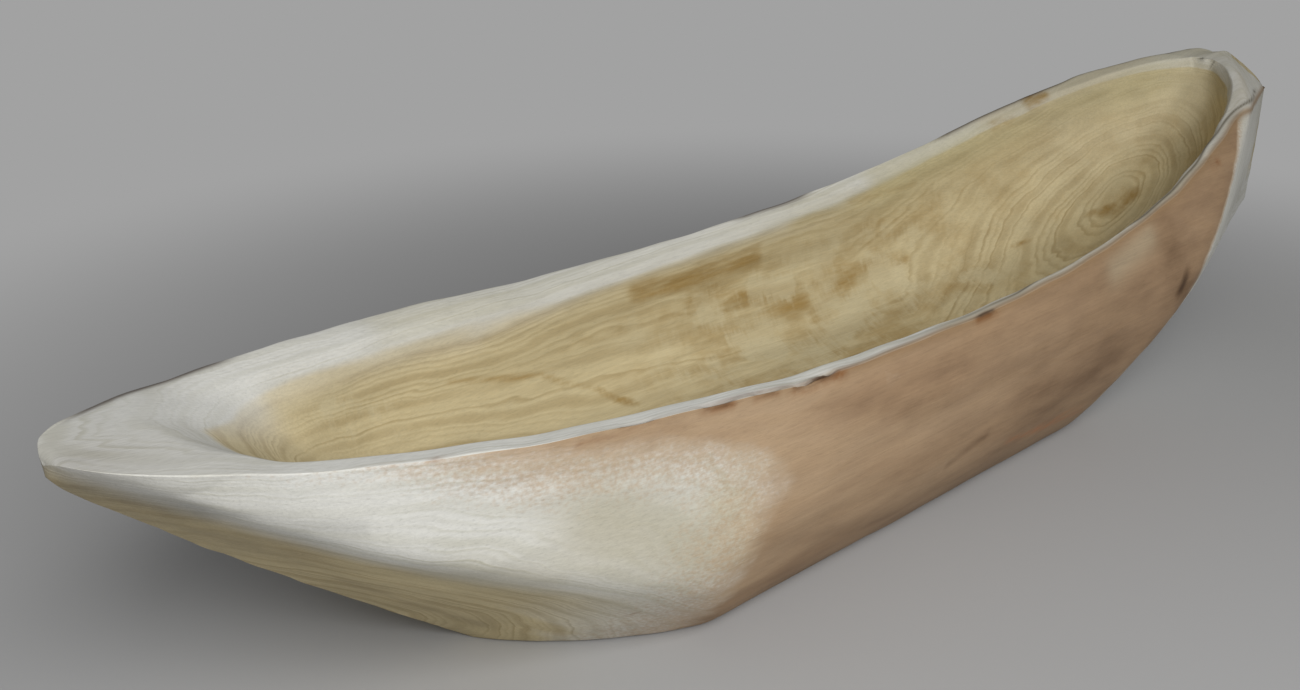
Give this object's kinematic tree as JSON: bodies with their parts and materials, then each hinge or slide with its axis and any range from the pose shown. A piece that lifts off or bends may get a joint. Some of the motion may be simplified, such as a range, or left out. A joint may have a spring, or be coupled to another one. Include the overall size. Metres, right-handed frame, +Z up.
{
  "type": "wooden snack boat",
  "caption": "Long boat-shaped snack bowl carved from one piece of a small log, with a pointed prow, a raised stern, a deep hollow and a flat base.",
  "frame": {"origin": "centre of the boat's bounding box at the height of the flat base, on the surface it stands on", "axes": "+X to the raised stern, -X to the pointed prow, +Z up, +Y across the boat"},
  "size_m": [0.5, 0.114, 0.0968],
  "materials": {
    "carved_wood": "bare pale wood, hand carved and unvarnished, with pinkish-brown under-bark on the sides"
  },
  "bodies": {
    "root": {"boat_body": "carved_wood"}
  },
  "joints": []
}
